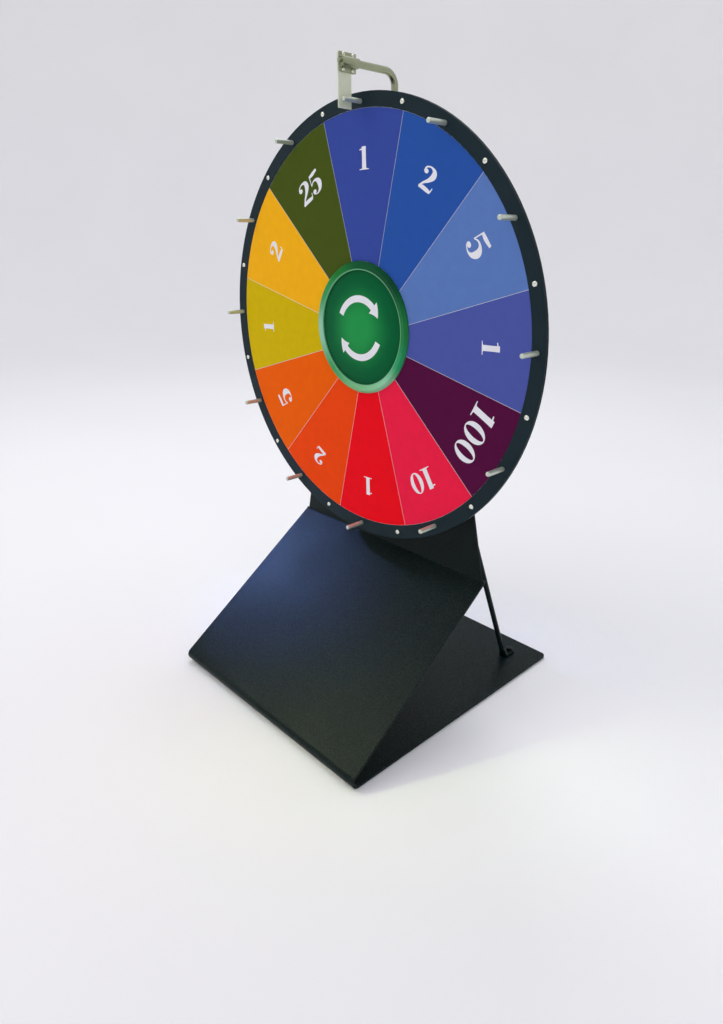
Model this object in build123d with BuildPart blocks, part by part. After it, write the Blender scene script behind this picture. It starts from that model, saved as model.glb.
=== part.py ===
from build123d import *
import math
import os

os.makedirs("parts", exist_ok=True)

# A table-top game wheel. Sizes are in millimetres. X runs across the wheel, -Y is
# the front and Z is up. The origin is on the table, under the middle of the base.

# Wheel
wheel_d = 609.6
wheel_height = 535.0
wheel_face_y = -13.8
segment_count = 12
disc_t = 3.0
ring_t = 2.0
ring_width = 19.4
ring_edge_round = 0.6
rabbet_width = 4.0
panel_t = 1.0
panel_gap = 0.3

# Pegs and rim screws, each circle set in from the wheel's edge
peg_d = 6.35
peg_length = 30.0
peg_tip_round = 1.6
peg_inset = 11.5
peg_stud_d = 5.0
peg_nut_flats = 8.0
peg_nut_t = 4.0
stud_end = 1.0
rim_screw_inset = 9.7
rim_screw_d = 4.0
rim_head_d = 7.0
rim_head_t = 2.2
rim_nut_flats = 7.0
rim_nut_t = 3.2

# Hub, seen from the front
bezel_outer_r = 92.0
bezel_inner_r = 80.0
bezel_crest_r = 88.5
bezel_crest = 6.0
bezel_crest_round = 1.1
bezel_edge = 2.2
bezel_lip = 4.2
lip_t = 2.2
cap_flange = 2.3
cap_wall = 2.0
cap_crown = 6.0
cap_gap = 0.2

# Hub flange behind the disc
flange_r = 96.0
flange_t = 3.0
barrel_r = 20.0
barrel_fillet = 6.0
barrel_chamfer = 1.0
hub_depth = 30.8
disc_bore_r = 16.0
hub_screw_circle_r = 86.0
hub_screw_count = 6
hub_screw_d = 4.0
hub_screw_bite = 3.6
hub_head_d = 7.5
hub_head_t = 2.4

# Bearings and axle
axle_d = 12.7
bearing_od = 28.575
bearing_w = 7.938
front_bearing_inset = 0.5
race_shoulder = 2.25
ball_d = 4.763
ball_count = 8
ball_play = 0.25
pocket_play = 0.05
cage_w = 6.2
cage_inner_gap = 0.6
cage_outer_gap = 0.5
housing_shoulder = 1.7
spacer_wall = 2.0
clip_t = 1.1
clip_groove = 0.45
clip_width = 2.0
clip_mouth = 60.0
axle_nose = 2.2
axle_nose_chamfer = 0.7
axle_shoulder_r = 8.6
axle_flange_r = 38.0
axle_flange_t = 6.0
axle_fillet = 3.0
axle_spigot_r = 10.0
axle_bolt_circle_r = 28.0
axle_bolt_d = 6.0
axle_bolt_count = 4
hex_head_flats = 10.0
hex_head_t = 4.0
axle_nut_t = 5.0

# Stand, one bent sheet
sheet_t = 3.0
base_width = 394.0
base_depth = 421.0
base_corner_r = 8.0
front_bend_r = 10.0
fold_y = 36.0
fold_z = 196.4
fold_inside_r = 3.0
upright_foot_half = 192.0
upright_top_half = 91.0
upright_over_socket = 10.0
upright_corner_r = 30.0
pad_t = 2.0
pad_r = 10.0
pad_inset_x = 24.0
pad_front_inset = 40.5
pad_rear_inset = 26.5

# Braces
brace_x = 150.0
brace_d = 8.0
brace_tab_w = 15.0
brace_tab_t = 3.5
brace_tab_l = 24.0
brace_tab_round = 1.0
brace_neck = 18.0
brace_top_z = 312.0
brace_foot_inset = 52.5
brace_screw_d = 5.0
brace_head_d = 9.0
brace_head_t = 2.8
brace_sink_d = 9.6
brace_nut_flats = 8.0
brace_nut_t = 4.0

# Clicker arm and its socket
arm_d = 9.5
arm_y = 48.6
arm_over_pegs = 43.1
arm_front_y = -46.0
arm_bend_r = 18.0
arm_nub_d = 5.0
arm_nub_l = 4.6
arm_chamfer = 0.8
socket_over_axle = 55.0
socket_h = 100.0
socket_wall = 4.6
socket_wing_half = 25.0
socket_wing_t = 3.5
socket_screw_x = 17.5
socket_screw_inset = 15.0
socket_screw_d = 5.0
socket_head_d = 9.0
socket_head_t = 2.8
socket_nut_flats = 8.0
socket_nut_t = 4.0
arm_stop = 6.0
grub_d = 5.0
grub_l = 6.4
grub_inset = 26.0
grub_key_flats = 2.5
grub_key_depth = 2.1

# Clamp and flapper strip
clamp_w = 27.5
clamp_half_h = 11.6
clamp_t = 1.5
clamp_screw_z = 8.8
clamp_screw_y = 8.0
clamp_screw_d = 3.0
clamp_head_d = 5.0
clamp_head_t = 2.0
clamp_nut_flats = 5.5
clamp_nut_t = 2.4
strip_w = 22.0
strip_t = 1.2
strip_gap = 0.1
strip_lead = 1.0
strip_drop = 54.0
strip_hole_play = 0.4

# Play of screws in their holes, and the straight band under each domed head
hole_play = 0.2
head_band = 0.45

wheel_r = wheel_d / 2
ring_inner_r = wheel_r - ring_width
peg_circle_r = wheel_r - peg_inset
rim_screw_circle_r = wheel_r - rim_screw_inset
disc_front_y = wheel_face_y + ring_t
disc_back_y = disc_front_y + disc_t
panel_front_y = disc_front_y - panel_t
panel_r = ring_inner_r + rabbet_width - panel_gap
segment_angle = 360 / segment_count
hub_end_y = disc_back_y + hub_depth
axle_r = axle_d / 2
bearing_r = bearing_od / 2
pitch_r = (axle_r + bearing_r) / 2
front_bearing_y = disc_back_y + front_bearing_inset
rear_bearing_y = hub_end_y - bearing_w
upright_back_y = fold_y + sheet_t
base_top_z = pad_t + sheet_t
brace_foot_y = base_depth / 2 - brace_foot_inset
arm_r = arm_d / 2
arm_top_z = wheel_height + peg_circle_r + arm_over_pegs
socket_z = wheel_height + socket_over_axle
upright_top_z = socket_z + socket_h + upright_over_socket
wheel_axis = Axis((0, 0, wheel_height), (0, 1, 0))


def facing_front(y, x=0.0, z=wheel_height):
    """A plane across Y whose normal looks out of the front of the wheel."""
    return Plane(origin=(x, y, z), x_dir=(1, 0, 0), z_dir=(0, -1, 0))


def facing_back(y, x=0.0, z=wheel_height):
    """A plane across Y whose normal looks out of the back of the wheel."""
    return Plane(origin=(x, y, z), x_dir=(-1, 0, 0), z_dir=(0, 1, 0))


def facing_left(x, y, z):
    """A plane across X whose normal looks to the left, with Z up in it."""
    return Plane(origin=(x, y, z), x_dir=(0, -1, 0), z_dir=(-1, 0, 0))


def facing_right(x, y, z):
    """A plane across X whose normal looks to the right, with Z up in it."""
    return Plane(origin=(x, y, z), x_dir=(0, 1, 0), z_dir=(1, 0, 0))


def save(piece, label):
    """Names a finished piece and writes it as a file of its own."""
    piece.label = label
    export_step(piece, f"parts/{label}.step")


def around(circle_r, count, from_top=0.0):
    """Even places round the wheel's axis, the first at an angle from the top."""
    return PolarLocations(circle_r, count, start_angle=90 - from_top)


def domed_screws(plane, places, shank_d, shank_l, head_d, head_t):
    """Domed screws standing on a plane, with their shanks going back through it."""
    with BuildPart() as screws:
        with BuildSketch(plane):
            with places():
                Circle(head_d / 2)
        extrude(amount=head_t)
        tops = faces().filter_by(Axis(plane.origin, plane.z_dir)).group_by(
            Axis(plane.origin, plane.z_dir))[-1]
        fillet(tops.edges(), head_t - head_band)
        with BuildSketch(plane):
            with places():
                Circle(shank_d / 2)
        extrude(amount=-shank_l)
    return screws.part


def hex_nuts(plane, places, flats, thickness, bore_d):
    """Hexagon nuts standing on a plane, open for the thread."""
    with BuildPart() as nuts:
        with BuildSketch(plane):
            with places():
                RegularPolygon(flats / 2, 6, major_radius=False)
                Circle(bore_d / 2, mode=Mode.SUBTRACT)
        extrude(amount=thickness)
    return nuts.part


# Stand sheet: the base, a rounded front bend, the sloping front panel, a sharp
# fold and a tapering upright. The panel's slope follows from the bend's circle
# and the fold's place.
bend_y = -base_depth / 2 + front_bend_r
bend_z = pad_t + front_bend_r
to_fold = math.hypot(fold_y - bend_y, fold_z - bend_z)
slope = math.atan2(fold_z - bend_z, fold_y - bend_y) - math.asin(front_bend_r / to_fold)
middle_y = fold_y + sheet_t / 2 * math.sin(slope)
middle_z = fold_z - sheet_t / 2 * math.cos(slope)
base_z = pad_t + sheet_t / 2
upright_y = fold_y + sheet_t / 2
front_corner = (middle_y - (middle_z - base_z) / math.tan(slope), base_z)
fold_corner = (upright_y, middle_z + (upright_y - middle_y) * math.tan(slope))
fold_run = (fold_inside_r + sheet_t / 2) * math.tan((math.pi / 2 - slope) / 2)
taper_z = fold_corner[1] + fold_run

socket_middle_z = socket_z + socket_h / 2
brace_hole_z = brace_top_z + brace_tab_l - brace_tab_w / 2
brace_hole_y = brace_foot_y + brace_tab_l - brace_tab_w / 2


def axle_places():
    """The bolts of the axle's flange."""
    return around(axle_bolt_circle_r, axle_bolt_count, 180 / axle_bolt_count)


def hub_places():
    """The screws that hold flange, disc, panel and bezel together."""
    return around(hub_screw_circle_r, hub_screw_count)


def peg_places():
    """The pegs, one in the middle of each segment."""
    return around(peg_circle_r, segment_count)


def rim_places():
    """The rim ring's screws, one on each line between two segments."""
    return around(rim_screw_circle_r, segment_count, segment_angle / 2)


def socket_places():
    """The four screws of the arm socket's wings."""
    return GridLocations(2 * socket_screw_x, socket_h - 2 * socket_screw_inset, 2, 2)


def grub_places():
    """The two grub screws, one above the other."""
    return GridLocations(0, socket_h - 2 * grub_inset, 1, 2)


def brace_pair():
    """The same place on the left and the right brace."""
    return GridLocations(2 * brace_x, 0, 2, 1)


def clamp_places():
    """The clamp's screws, above and below the arm."""
    return GridLocations(2 * clamp_screw_y, 2 * clamp_screw_z, 2, 2)


def pad_places():
    """The rubber feet, near the corners of the base."""
    pad_x = base_width / 2 - pad_inset_x
    rows = (pad_front_inset - base_depth / 2, base_depth / 2 - pad_rear_inset)
    return Locations(*[(side * pad_x, y) for side in (-1, 1) for y in rows])


with BuildPart() as stand_sheet:
    with BuildSketch(Plane.YZ):
        with BuildLine():
            FilletPolyline(
                (base_depth / 2, base_z), front_corner, fold_corner,
                (upright_y, upright_top_z),
                radius=[front_bend_r - sheet_t / 2, fold_inside_r + sheet_t / 2])
        trace(line_width=sheet_t)
    extrude(amount=base_width / 2, both=True)
    with BuildSketch(facing_back(fold_y - sheet_t, 0, 0)):
        with BuildLine():
            Polyline(
                (upright_foot_half, taper_z), (upright_top_half, upright_top_z),
                (base_width, upright_top_z), (base_width, taper_z), close=True)
        make_face()
        mirror(about=Plane.YZ)
    extrude(amount=3 * sheet_t, mode=Mode.SUBTRACT)
    fillet(edges().filter_by(Axis.Y).group_by(Axis.Z)[-1], upright_corner_r)
    fillet(edges().filter_by(Axis.Z).group_by(Axis.Y)[-1], base_corner_r)
    with BuildSketch(facing_front(upright_back_y)):
        Circle(axle_spigot_r + hole_play)
        with axle_places():
            Circle(axle_bolt_d / 2 + hole_play)
    extrude(amount=sheet_t, mode=Mode.SUBTRACT)
    with BuildSketch(facing_front(upright_back_y, 0, socket_middle_z)):
        with socket_places():
            Circle(socket_screw_d / 2 + hole_play)
    extrude(amount=sheet_t, mode=Mode.SUBTRACT)
    with BuildSketch(facing_front(upright_back_y, 0, brace_hole_z)):
        with brace_pair():
            Circle(brace_screw_d / 2 + hole_play)
    extrude(amount=sheet_t, mode=Mode.SUBTRACT)
    with Locations(Plane((0, brace_hole_y, pad_t), z_dir=(0, 0, -1))):
        with brace_pair():
            CounterSinkHole(
                brace_screw_d / 2 + hole_play, brace_sink_d / 2 + hole_play, sheet_t, 90)
save(stand_sheet.part, "stand_sheet")

with BuildPart() as rubber_feet:
    with BuildSketch():
        with pad_places():
            Circle(pad_r)
    extrude(amount=pad_t)
save(rubber_feet.part, "rubber_feet")

# Braces: a round rod whose ends are pressed flat and bent, one against the back of
# the upright and one on the base. Each neck is a loft from the flat to the round.
tab_y = upright_back_y + brace_tab_t / 2
tab_z = base_top_z + brace_tab_t / 2
top_end = Vector(0, tab_y, brace_top_z)
foot_end = Vector(0, brace_foot_y, tab_z)
brace_way = (foot_end - top_end).normalized()
rod_top = top_end + brace_way * brace_neck
rod_foot = foot_end - brace_way * brace_neck


def brace(x):
    """One brace at a place across the stand."""
    shift = Vector(x, 0, 0)
    across = (1, 0, 0)
    top_plane = Plane(origin=top_end + shift, x_dir=across, z_dir=(0, 0, -1))
    foot_plane = Plane(origin=foot_end + shift, x_dir=across, z_dir=(0, 1, 0))
    rod_plane = Plane(origin=rod_top + shift, x_dir=across, z_dir=brace_way)
    end_plane = Plane(origin=rod_foot + shift, x_dir=across, z_dir=brace_way)
    with BuildPart() as rod:
        with BuildSketch(rod_plane):
            Circle(brace_d / 2)
        extrude(amount=(rod_foot - rod_top).length)
        for flat, round_end in ((top_plane, rod_plane), (foot_plane, end_plane)):
            with BuildSketch(flat):
                RectangleRounded(brace_tab_w, brace_tab_t, brace_tab_round)
            with BuildSketch(round_end):
                Circle(brace_d / 2)
            loft()
        for flat, way in ((top_plane, -1), (foot_plane, 1)):
            with BuildSketch(flat):
                RectangleRounded(brace_tab_w, brace_tab_t, brace_tab_round)
            extrude(amount=way * (brace_tab_l - brace_tab_w / 2))
        with BuildSketch(facing_back(upright_back_y, x, brace_hole_z)):
            Circle(brace_tab_w / 2)
        extrude(amount=brace_tab_t)
        with BuildSketch(Plane((x, brace_hole_y, base_top_z))):
            Circle(brace_tab_w / 2)
        extrude(amount=brace_tab_t)
        with BuildSketch(facing_back(upright_back_y, x, brace_hole_z)):
            Circle(brace_screw_d / 2 + hole_play)
        extrude(amount=brace_tab_t, mode=Mode.SUBTRACT)
        with BuildSketch(Plane((x, brace_hole_y, base_top_z))):
            Circle(brace_screw_d / 2 + hole_play)
        extrude(amount=brace_tab_t, mode=Mode.SUBTRACT)
    return rod.part


save(brace(-brace_x), "brace_left")
save(brace(brace_x), "brace_right")

brace_grip = sheet_t + brace_tab_t
brace_screw_l = brace_grip + brace_nut_t + stud_end
save(domed_screws(
    facing_front(fold_y, 0, brace_hole_z), brace_pair, brace_screw_d, brace_screw_l,
    brace_head_d, brace_head_t), "brace_top_screws")

with BuildPart() as brace_foot_screws:
    with BuildSketch(Plane((0, brace_hole_y, pad_t))):
        with brace_pair():
            Circle(brace_screw_d / 2)
    extrude(amount=brace_screw_l)
    with BuildSketch(Plane((0, brace_hole_y, pad_t))):
        with brace_pair():
            Circle(brace_sink_d / 2)
    extrude(amount=(brace_sink_d - brace_screw_d) / 2, taper=45)
save(brace_foot_screws.part, "brace_foot_screws")

save(hex_nuts(
    facing_back(upright_back_y + brace_tab_t, 0, brace_hole_z), brace_pair,
    brace_nut_flats, brace_nut_t, brace_screw_d), "brace_top_nuts")
save(hex_nuts(
    Plane((0, brace_hole_y, base_top_z + brace_tab_t)), brace_pair,
    brace_nut_flats, brace_nut_t, brace_screw_d), "brace_foot_nuts")

# Wheel: a disc with a printed panel on its face, held by a rim ring whose rabbet
# laps the panel's edge.
with BuildPart() as wheel_disc:
    with BuildSketch(facing_front(disc_back_y)):
        Circle(wheel_r)
        Circle(disc_bore_r, mode=Mode.SUBTRACT)
        with hub_places():
            Circle(hub_screw_d / 2 + hole_play, mode=Mode.SUBTRACT)
        with peg_places():
            Circle(peg_stud_d / 2 + hole_play, mode=Mode.SUBTRACT)
        with rim_places():
            Circle(rim_screw_d / 2 + hole_play, mode=Mode.SUBTRACT)
    extrude(amount=disc_t)
save(wheel_disc.part, "wheel_disc")

with BuildPart() as graphic_panel:
    with BuildSketch(facing_front(disc_front_y)):
        Circle(panel_r)
        Circle(disc_bore_r, mode=Mode.SUBTRACT)
        with hub_places():
            Circle(hub_screw_d / 2 + hole_play, mode=Mode.SUBTRACT)
    extrude(amount=panel_t)
save(graphic_panel.part, "graphic_panel")

with BuildPart() as rim_ring:
    with BuildSketch(facing_front(disc_front_y)):
        Circle(wheel_r)
        Circle(ring_inner_r, mode=Mode.SUBTRACT)
    extrude(amount=ring_t)
    front_edges = edges().filter_by(GeomType.CIRCLE).group_by(Axis.Y)[0]
    fillet(front_edges, ring_edge_round)
    with BuildSketch(facing_front(disc_front_y)):
        Circle(ring_inner_r + rabbet_width)
    extrude(amount=panel_t, mode=Mode.SUBTRACT)
    with BuildSketch(facing_front(disc_front_y)):
        with peg_places():
            Circle(peg_stud_d / 2 + hole_play)
        with rim_places():
            Circle(rim_screw_d / 2 + hole_play)
    extrude(amount=ring_t, mode=Mode.SUBTRACT)
save(rim_ring.part, "rim_ring")

rim_grip = ring_t + disc_t
save(domed_screws(
    facing_front(wheel_face_y), rim_places, rim_screw_d,
    rim_grip + rim_nut_t + stud_end, rim_head_d, rim_head_t), "rim_screws")
save(hex_nuts(
    facing_back(disc_back_y), rim_places, rim_nut_flats, rim_nut_t, rim_screw_d),
    "rim_nuts")

# Pegs: turned pins with a rounded tip and a threaded stud through ring and disc.
for number in range(segment_count):
    turn = math.radians(number * segment_angle)
    peg_x = peg_circle_r * math.sin(turn)
    peg_z = wheel_height + peg_circle_r * math.cos(turn)
    with BuildPart() as peg:
        with BuildSketch(facing_front(wheel_face_y, peg_x, peg_z)):
            Circle(peg_d / 2)
        extrude(amount=peg_length)
        fillet(edges().filter_by(GeomType.CIRCLE).group_by(Axis.Y)[0], peg_tip_round)
        with BuildSketch(facing_front(wheel_face_y, peg_x, peg_z)):
            Circle(peg_stud_d / 2)
        extrude(amount=-(rim_grip + peg_nut_t + stud_end))
    save(peg.part, f"peg_{number + 1:02d}")
save(hex_nuts(
    facing_back(disc_back_y), peg_places, peg_nut_flats, peg_nut_t, peg_stud_d),
    "peg_nuts")

# Hub bezel and cap. The bezel's lip laps the cap's flange; the cap is a shallow
# dome, hollow behind.
bezel_foot_r = bezel_inner_r + cap_flange + cap_gap
cap_dome_r = bezel_inner_r - cap_gap
cap_flange_t = bezel_lip - lip_t


def from_axis(points):
    """Points given as height above the panel and radius, in the YZ plane."""
    return [(panel_front_y - height, wheel_height + radius) for height, radius in points]


with BuildPart() as hub_bezel:
    with BuildSketch(Plane.YZ):
        with BuildLine():
            Polyline(*from_axis([
                (0, bezel_foot_r), (0, bezel_outer_r), (bezel_edge, bezel_outer_r),
                (bezel_crest, bezel_crest_r), (bezel_lip, bezel_inner_r),
                (bezel_lip - lip_t + cap_gap, bezel_inner_r),
                (bezel_lip - lip_t + cap_gap, bezel_foot_r)]), close=True)
        make_face()
    revolve(axis=wheel_axis)
    crest = edges().filter_by(GeomType.CIRCLE).group_by(Axis.Y)[0]
    fillet(crest, bezel_crest_round)
    with BuildSketch(facing_front(panel_front_y)):
        with hub_places():
            Circle(hub_screw_d / 2)
    extrude(amount=hub_screw_bite + cap_gap, mode=Mode.SUBTRACT)
save(hub_bezel.part, "hub_bezel")

with BuildPart() as hub_cap:
    with BuildSketch(Plane.YZ):
        with BuildLine():
            edge_y, edge_z = from_axis([(cap_flange_t, cap_dome_r)])[0]
            crown_y, crown_z = from_axis([(cap_crown, 0)])[0]
            inner_y, inner_z = from_axis([(cap_crown - cap_wall, 0)])[0]
            foot_y, foot_z = from_axis([(0, cap_dome_r - cap_wall)])[0]
            rim_y, rim_z = from_axis([(0, cap_dome_r + cap_flange)])[0]
            rise = cap_crown - cap_flange_t
            dome_r = (cap_dome_r ** 2 + rise ** 2) / (2 * rise)
            hollow_rise = cap_crown - cap_wall
            hollow_half = cap_dome_r - cap_wall
            hollow_r = (hollow_half ** 2 + hollow_rise ** 2) / (2 * hollow_rise)
            RadiusArc((crown_y, crown_z), (edge_y, edge_z), dome_r)
            Polyline(
                (edge_y, edge_z), (edge_y, rim_z), (rim_y, rim_z), (foot_y, foot_z))
            RadiusArc((foot_y, foot_z), (inner_y, inner_z), -hollow_r)
            Line((inner_y, inner_z), (crown_y, crown_z))
        make_face()
    revolve(axis=wheel_axis)
save(hub_cap.part, "hub_cap")

# Hub flange: a plate behind the disc with a barrel that houses both bearings.
housing_bore_r = bearing_r - housing_shoulder
with BuildPart() as hub_flange:
    with BuildSketch(Plane.YZ):
        with BuildLine():
            plate_back_y = disc_back_y + flange_t
            Polyline(
                (disc_back_y, wheel_height + bearing_r),
                (disc_back_y, wheel_height + flange_r),
                (plate_back_y, wheel_height + flange_r),
                (plate_back_y, wheel_height + barrel_r),
                (hub_end_y, wheel_height + barrel_r),
                (hub_end_y, wheel_height + bearing_r),
                (rear_bearing_y, wheel_height + bearing_r),
                (rear_bearing_y, wheel_height + housing_bore_r),
                (front_bearing_y + bearing_w, wheel_height + housing_bore_r),
                (front_bearing_y + bearing_w, wheel_height + bearing_r), close=True)
        make_face()
    revolve(axis=wheel_axis)
    barrel_root = (
        edges().filter_by(GeomType.CIRCLE)
        .filter_by(lambda e: abs(e.radius - barrel_r) < 0.01).sort_by(Axis.Y)[0])
    fillet(barrel_root, barrel_fillet)
    chamfer(
        edges().filter_by(GeomType.CIRCLE)
        .filter_by(lambda e: abs(e.radius - barrel_r) < 0.01).sort_by(Axis.Y)[-1],
        barrel_chamfer)
    with BuildSketch(facing_back(disc_back_y)):
        with hub_places():
            Circle(hub_screw_d / 2 + hole_play)
    extrude(amount=flange_t, mode=Mode.SUBTRACT)
save(hub_flange.part, "hub_flange")

hub_grip = flange_t + disc_t + panel_t
save(domed_screws(
    facing_back(disc_back_y + flange_t), hub_places, hub_screw_d,
    hub_grip + hub_screw_bite, hub_head_d, hub_head_t), "hub_screws")

# Bearings: grooved inner and outer races, balls between them in a ring cage.
groove_r = ball_d / 2 + ball_play


def race(y, inner_r, outer_r):
    """A race ring from one radius to another, with the ball groove rolled in."""
    with BuildPart() as ring:
        with BuildSketch(facing_back(y)):
            Circle(outer_r)
            Circle(inner_r, mode=Mode.SUBTRACT)
        extrude(amount=bearing_w)
        with BuildSketch(Plane.YZ):
            with Locations((y + bearing_w / 2, wheel_height + pitch_r)):
                Circle(groove_r)
        revolve(axis=wheel_axis, mode=Mode.SUBTRACT)
    return ring.part


def ball_set(y):
    """The balls of one bearing and the cage that spaces them."""
    middle = facing_back(y + bearing_w / 2)
    cage_inner_r = axle_r + race_shoulder + cage_inner_gap
    cage_outer_r = bearing_r - race_shoulder - cage_outer_gap
    with BuildPart() as cage:
        with BuildSketch(middle):
            Circle(cage_outer_r)
            Circle(cage_inner_r, mode=Mode.SUBTRACT)
        extrude(amount=cage_w / 2, both=True)
        with Locations(middle):
            with PolarLocations(pitch_r, ball_count):
                Cylinder(
                    ball_d / 2 + pocket_play, cage_outer_r, rotation=(0, 90, 0),
                    mode=Mode.SUBTRACT)
    with BuildPart() as balls:
        with Locations(middle):
            with PolarLocations(pitch_r, ball_count):
                Sphere(ball_d / 2)
    return Compound(children=[cage.part, balls.part])


inner_race_r = axle_r + race_shoulder
outer_race_r = bearing_r - race_shoulder
for place, y in (("front", front_bearing_y), ("rear", rear_bearing_y)):
    save(race(y, axle_r, inner_race_r), f"{place}_bearing_inner_race")
    save(race(y, outer_race_r, bearing_r), f"{place}_bearing_outer_race")
    save(ball_set(y), f"{place}_bearing_balls")

with BuildPart() as bearing_spacer:
    with BuildSketch(facing_back(front_bearing_y + bearing_w)):
        Circle(axle_r + spacer_wall)
        Circle(axle_r, mode=Mode.SUBTRACT)
    extrude(amount=rear_bearing_y - front_bearing_y - bearing_w)
save(bearing_spacer.part, "bearing_spacer")

# Axle: one turned piece with a bolting flange, a shoulder for the rear bearing, a
# spigot through the upright and a groove for the retaining clip.
clip_y = front_bearing_y - clip_t
nose_y = clip_y - axle_nose
axle_flange_y = fold_y - axle_flange_t
clip_inner_r = axle_r - clip_groove
with BuildPart() as axle:
    with BuildSketch(Plane.YZ):
        with BuildLine():
            Polyline(
                (nose_y, wheel_height), (nose_y, wheel_height + axle_r),
                (clip_y, wheel_height + axle_r), (clip_y, wheel_height + clip_inner_r),
                (front_bearing_y, wheel_height + clip_inner_r),
                (front_bearing_y, wheel_height + axle_r),
                (hub_end_y, wheel_height + axle_r),
                (hub_end_y, wheel_height + axle_shoulder_r),
                (axle_flange_y, wheel_height + axle_shoulder_r),
                (axle_flange_y, wheel_height + axle_flange_r),
                (fold_y, wheel_height + axle_flange_r),
                (fold_y, wheel_height + axle_spigot_r),
                (upright_back_y, wheel_height + axle_spigot_r),
                (upright_back_y, wheel_height), close=True)
        make_face()
    revolve(axis=wheel_axis)
    fillet(
        edges().filter_by(GeomType.CIRCLE)
        .filter_by(lambda e: abs(e.radius - axle_shoulder_r) < 0.01).sort_by(Axis.Y)[-1],
        axle_fillet)
    chamfer(edges().filter_by(GeomType.CIRCLE).sort_by(Axis.Y)[0], axle_nose_chamfer)
    with BuildSketch(facing_back(axle_flange_y)):
        with axle_places():
            Circle(axle_bolt_d / 2 + hole_play)
    extrude(amount=axle_flange_t, mode=Mode.SUBTRACT)
save(axle.part, "axle")

with BuildPart() as retaining_clip:
    with BuildSketch(facing_back(clip_y)):
        Circle(clip_inner_r + clip_width)
        Circle(clip_inner_r, mode=Mode.SUBTRACT)
        with BuildLine():
            reach = 2 * axle_d
            half_mouth = math.radians(clip_mouth / 2)
            Polyline(
                (0, 0), (reach * math.sin(half_mouth), -reach * math.cos(half_mouth)),
                (-reach * math.sin(half_mouth), -reach * math.cos(half_mouth)),
                close=True)
        make_face(mode=Mode.SUBTRACT)
    extrude(amount=clip_t)
save(retaining_clip.part, "retaining_clip")

with BuildPart() as axle_bolts:
    with BuildSketch(facing_front(axle_flange_y)):
        with axle_places():
            RegularPolygon(hex_head_flats / 2, 6, major_radius=False)
    extrude(amount=hex_head_t)
    with BuildSketch(facing_back(axle_flange_y)):
        with axle_places():
            Circle(axle_bolt_d / 2)
    extrude(amount=axle_flange_t + sheet_t + axle_nut_t + stud_end)
save(axle_bolts.part, "axle_bolts")
save(hex_nuts(
    facing_back(upright_back_y), axle_places, hex_head_flats, axle_nut_t, axle_bolt_d),
    "axle_nuts")

# Arm socket: an extruded block with two wings, bored for the arm, on the back of
# the upright. Two grub screws pin the arm.
socket_r = arm_r + socket_wall
with BuildPart() as arm_socket:
    with BuildSketch(Plane.XY.offset(socket_z)):
        with Locations((0, upright_back_y + socket_wing_t / 2)):
            Rectangle(2 * socket_wing_half, socket_wing_t)
        with Locations((0, (upright_back_y + arm_y) / 2)):
            Rectangle(2 * socket_r, arm_y - upright_back_y)
        with Locations((0, arm_y)):
            Circle(socket_r)
        fillet(vertices().filter_by(
            lambda v: abs(v.Y - upright_back_y - socket_wing_t) < 0.01
            and abs(abs(v.X) - socket_r) < 0.01), socket_wing_t / 2)
        with Locations((0, arm_y)):
            Circle(arm_r, mode=Mode.SUBTRACT)
    extrude(amount=socket_h)
    with BuildSketch(facing_front(upright_back_y + socket_wing_t, 0, socket_middle_z)):
        with socket_places():
            Circle(socket_screw_d / 2 + hole_play)
    extrude(amount=socket_wing_t, mode=Mode.SUBTRACT)
    with BuildSketch(facing_back(arm_y, 0, socket_middle_z)):
        with grub_places():
            Circle(grub_d / 2)
    extrude(amount=2 * socket_r, mode=Mode.SUBTRACT)
save(arm_socket.part, "arm_socket")

save(domed_screws(
    facing_front(fold_y, 0, socket_middle_z), socket_places, socket_screw_d,
    sheet_t + socket_wing_t + socket_nut_t + stud_end, socket_head_d, socket_head_t),
    "socket_screws")
save(hex_nuts(
    facing_back(upright_back_y + socket_wing_t, 0, socket_middle_z), socket_places,
    socket_nut_flats, socket_nut_t, socket_screw_d), "socket_nuts")

with BuildPart() as grub_screws:
    with BuildSketch(facing_back(arm_y + arm_r, 0, socket_middle_z)):
        with grub_places():
            Circle(grub_d / 2)
    extrude(amount=grub_l)
    with BuildSketch(facing_front(arm_y + arm_r + grub_l, 0, socket_middle_z)):
        with grub_places():
            RegularPolygon(grub_key_flats / 2, 6, major_radius=False)
    extrude(amount=grub_key_depth, mode=Mode.SUBTRACT)
save(grub_screws.part, "grub_screws")

# Clicker arm: a bent rod that comes up out of the socket and forward over the rim,
# with a turned-down nub at its front end.
with BuildPart() as clicker_arm:
    with BuildLine(Plane.YZ):
        FilletPolyline(
            (arm_front_y, arm_top_z), (arm_y, arm_top_z), (arm_y, socket_z + arm_stop),
            radius=arm_bend_r)
    with BuildSketch(facing_front(arm_front_y, 0, arm_top_z)):
        Circle(arm_r)
    sweep()
    with BuildSketch(facing_front(arm_front_y, 0, arm_top_z)):
        Circle(arm_nub_d / 2)
    extrude(amount=arm_nub_l)
    chamfer(
        edges().filter_by(GeomType.CIRCLE).filter_by(
            lambda e: abs(e.radius - arm_r) < 0.01).sort_by(Axis.Y)[0], arm_chamfer)
save(clicker_arm.part, "clicker_arm")

# Clamp: a flat plate and a pressed saddle that grip the arm, with the flapper strip
# between the plate and the arm.
clamp_y = arm_front_y + clamp_w / 2
strip_right_x = -arm_r - strip_gap
strip_left_x = strip_right_x - strip_t
plate_x = strip_left_x - strip_gap
saddle_x = -arm_r
saddle_outer_r = arm_r + clamp_t
saddle_plane = facing_right(saddle_x + clamp_t, clamp_y, arm_top_z)

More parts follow.
